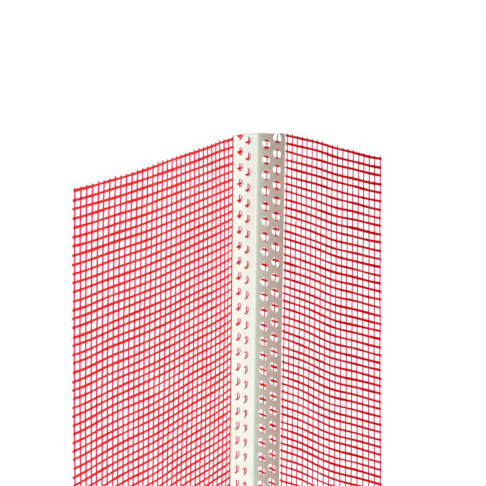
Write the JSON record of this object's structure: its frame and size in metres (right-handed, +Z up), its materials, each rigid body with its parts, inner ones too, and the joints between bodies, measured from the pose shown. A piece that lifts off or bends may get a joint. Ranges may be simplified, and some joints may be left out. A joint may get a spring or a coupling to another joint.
{
  "type": "render corner angle with mesh wings",
  "caption": "Perforated PVC corner angle with glass-fibre mesh wings, one wide and one narrow, bedded on a wall corner to carry facade render.",
  "frame": {"origin": "on the floor, under the middle of the whole part", "axes": "+X along the stock away from the snipped end, -Y out along the wide wing, +Z up the narrow wing"},
  "size_m": [2, 0.156, 0.0997],
  "materials": {
    "white_pvc": "satin",
    "red_yarn": "satin"
  },
  "bodies": {
    "root": {"pvc_angle": "white_pvc", "wide_wing_warps": "red_yarn", "wide_wing_wefts": "red_yarn", "narrow_wing_warps": "red_yarn", "narrow_wing_wefts": "red_yarn"}
  },
  "joints": []
}
